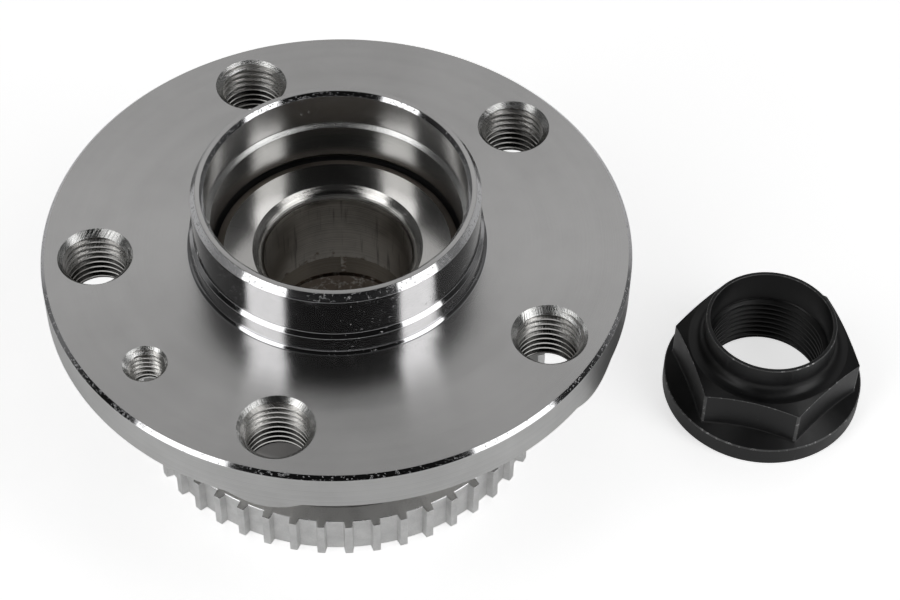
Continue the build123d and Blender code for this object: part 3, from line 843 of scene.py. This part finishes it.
sections = [nut_section(turn) for turn in nut_turns]
nut_rings = []
for k in range(len(sections[0])):
    nut_rings.append([(nut_place[0] + section[k].x * cos(turn), nut_place[1] + section[k].x * sin(turn),
                       section[k].y) for section, turn in zip(sections, nut_turns)])
nut = add("spindle_nut_forging", ring_mesh("spindle_nut_forging", nut_rings, closed=False))

crystal_h = 0.00004
bare_steel = (0.42, 0.42, 0.42)


def phosphated(name, colour, roughness, bared, depth):
    """Steel blackened in a phosphate bath and oiled: near black, finely crystalline, rubbed on its edges."""
    material, shader = blank(name)
    shader.inputs["Specular IOR Level"].default_value = 0.42
    point = node(material, "TexCoord", {}).outputs["Object"]
    grain = node(material, "TexNoise", {"Vector": point, "Scale": 4200, "Detail": 2, "Roughness": 0.6})
    cloud = node(material, "TexNoise", {"Vector": point, "Scale": 160, "Detail": 4, "Roughness": 0.6})
    nick = node(material, "TexNoise", {"Vector": point, "Scale": 900, "Detail": 5, "Roughness": 0.75})
    bare = ramp(material, nick.outputs["Fac"], [(bared, 0.0), (bared + 0.1, 1.0)])
    skin = ramp(material, cloud.outputs["Fac"], [(0.3, tuple(c * 0.7 for c in colour)),
                                                 (0.7, tuple(c * 1.3 for c in colour))])
    shade = node(material, "Mix", {0: bare, 6: skin, 7: (*bare_steel, 1)}, data_type="RGBA")
    rough = node(material, "MapRange", {0: cloud.outputs["Fac"], 1: 0.3, 2: 0.7,
                                        3: roughness * 0.85, 4: roughness * 1.15})
    bump = node(material, "Bump", {"Strength": depth, "Distance": crystal_h, "Height": grain.outputs["Fac"]})
    plug(material, shader, Base_Color=shade.outputs[2], Roughness=rough.outputs[0], Normal=bump.outputs[0],
         Metallic=bare)
    return material


black_skin = phosphated("black_phosphate", (0.008, 0.008, 0.0085), 0.36, 0.69, 0.25)
black_thread = phosphated("black_phosphate_thread", (0.006, 0.006, 0.006), 0.4, 0.72, 0.3)
rubbed_edge = phosphated("rubbed_phosphate_edge", (0.1, 0.1, 0.1), 0.4, 0.545, 0.4)
finish_with(nut, black_skin, black_thread, black_thread, black_skin, rubbed_edge)
corner_reach_r = hexagon_r(corner_turn) - 0.00013
rim_tilt = 0.15
bevel_tilt = 0.8
collar_tilt = 0.97
for face in nut.data.polygons:
    out = away(face.center, nut_place)
    up = face.normal.z
    on_washer = out > washer_r - rim_round and rim_tilt < up < level_tilt
    on_bevel = out > hex_inset * 0.99 and least_tilt < up < bevel_tilt
    on_hexagon = on_bevel and face.center.z > rim_top + 2 * cone_h
    on_corner = out > corner_reach_r and abs(up) < least_tilt and face.center.z > rim_top
    on_collar = face.center.z > nut_high.z - collar_round and up < collar_tilt
    if on_washer or on_hexagon or on_corner or on_collar:
        face.material_index = nut.data.materials.find(rubbed_edge.name)
nut_thread = thread_wall("nut_thread", nut_place, nut_d, nut_pitch, thread_top, collar_bore_r, nut_base,
                         nut_mouth_r, nut_turns)
weld(nut, [nut_thread], black_thread)
even_shading(nut)
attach(nut, "nut")
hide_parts("spindle_nut")

# Floor: one broad sheet of plain white paper, which takes the soft shadow of the hub and the nut. Far
# out it glows, where the lamps don't reach. It is clear from below, so that the underside can be seen.
floor_half = 3
shadow_r = 0.4
glow_r = 0.8
corners = [(x * floor_half, y * floor_half, nut_base) for x, y in ((-1, -1), (1, -1), (1, 1), (-1, 1))]
floor_mesh = bpy.data.meshes.new("paper_floor")
floor_mesh.from_pydata(corners, [], [(0, 1, 2, 3)])
floor = add("paper_floor", floor_mesh)
paper, paper_shader = blank("white_paper")
paper_shader.inputs["Base Color"].default_value = (0.9, 0.9, 0.9, 1)
paper_shader.inputs["Roughness"].default_value = 0.3
paper_shader.inputs["Specular IOR Level"].default_value = 0.5
paper_shader.inputs["Emission Color"].default_value = (1, 1, 1, 1)
path = node(paper, "LightPath", {})
mirrored = node(paper, "Math", {0: path.outputs["Is Glossy Ray"], 1: 0.2}, operation="MULTIPLY")
spot = node(paper, "TexCoord", {}).outputs["Object"]
far_off = node(paper, "VectorMath", {0: spot}, operation="LENGTH").outputs["Value"]
white = node(paper, "MapRange", {0: far_off, 1: shadow_r, 2: glow_r, 3: 0.68, 4: 1.0}).outputs[0]
glow = node(paper, "Math", {0: path.outputs["Is Camera Ray"], 1: white, 2: mirrored.outputs[0]},
            operation="MULTIPLY_ADD")
plug(paper, paper_shader, Emission_Strength=glow.outputs[0])
below = node(paper, "NewGeometry", {}).outputs["Backfacing"]
clear = node(paper, "BsdfTransparent", {}).outputs[0]
one_way = node(paper, "MixShader", {0: below, 1: paper_shader.outputs[0], 2: clear}).outputs[0]
paper.node_tree.links.new(one_way, paper.node_tree.nodes["Material Output"].inputs["Surface"])
finish_with(floor, paper)

# Studio: a dark room with a broad bright panel high behind the hub, a low pale wall in front, and two
# tall upright soft boxes, left and right of the camera. The camera sees plain white all round.
studio = bpy.data.worlds.new("studio")
bpy.context.scene.world = studio
studio.use_nodes = True
room = studio.node_tree.nodes["Background"]
room.inputs["Color"].default_value = (1, 1, 1, 1)
panel = Vector((0, cos(radians(44)), sin(radians(44))))
sky = node(studio, "TexCoord", {}).outputs["Generated"]
broad = node(studio, "VectorMath", {0: sky, 1: (0.5, 1, 1)}, operation="MULTIPLY").outputs[0]
aim = node(studio, "VectorMath", {0: broad}, operation="NORMALIZE").outputs[0]
toward = node(studio, "VectorMath", {0: aim, 1: panel}, operation="DOT_PRODUCT").outputs["Value"]
fall_off = [(0.2, 0.006), (0.81, 0.07), (0.87, 0.1), (0.918, 0.15), (0.95, 0.28), (0.972, 0.42), (0.99, 0.6)]
level = ramp(studio, toward, fall_off)
heading = node(studio, "SeparateXYZ", {0: sky})
wall_front = node(studio, "MapRange", {0: heading.outputs["Y"], 1: -1.0, 2: 0.9, 3: 0.4, 4: 0.0}).outputs[0]
wall_low = node(studio, "MapRange", {0: heading.outputs["Z"], 1: 0.16, 2: 0.23, 3: 1.0, 4: 0.0}).outputs[0]
light = node(studio, "Math", {0: wall_front, 1: wall_low, 2: level}, operation="MULTIPLY_ADD").outputs[0]
seen = node(studio, "LightPath", {}).outputs["Is Camera Ray"]
strength = node(studio, "Mix", {0: seen, 2: light, 3: 1.0}, data_type="FLOAT").outputs[0]
studio.node_tree.links.new(strength, room.inputs["Strength"])

box_distance = 0.85
box_middle = 0.9
box_height = 1.7


def soft_box(name, azimuth, lean, width, power):
    """Upright soft box that faces the axis, turned in its own plane by its lean."""
    lamp = bpy.data.lights.new(name, "AREA")
    lamp.shape = "RECTANGLE"
    lamp.size = width
    lamp.size_y = box_height
    lamp.energy = power
    box = add(name, lamp)
    outward = Vector((cos(radians(azimuth)), sin(radians(azimuth)), 0))
    box.location = outward * box_distance + Vector((0, 0, box_middle))
    turn = outward.to_track_quat("Z", "Y") @ Quaternion((0, 0, 1), radians(lean))
    box.rotation_euler = turn.to_euler()
    box.visible_camera = False


soft_box("soft_box_left", azimuth=-146, lean=11.8, width=0.5, power=5.5)
soft_box("soft_box_right", azimuth=-22, lean=-11.8, width=0.47, power=5.2)

lens = bpy.data.cameras.new("camera")
lens.lens = 93.25
lens.sensor_width = 36
lens.sensor_fit = "HORIZONTAL"
camera = add("camera", lens)
camera.location = (0.02315, -0.31658, 0.35312)
camera.rotation_mode = "ZYX"
camera.rotation_euler = (radians(40.461), 0, 0.02351)
bpy.context.scene.camera = camera
bpy.context.scene.view_settings.view_transform = "Standard"
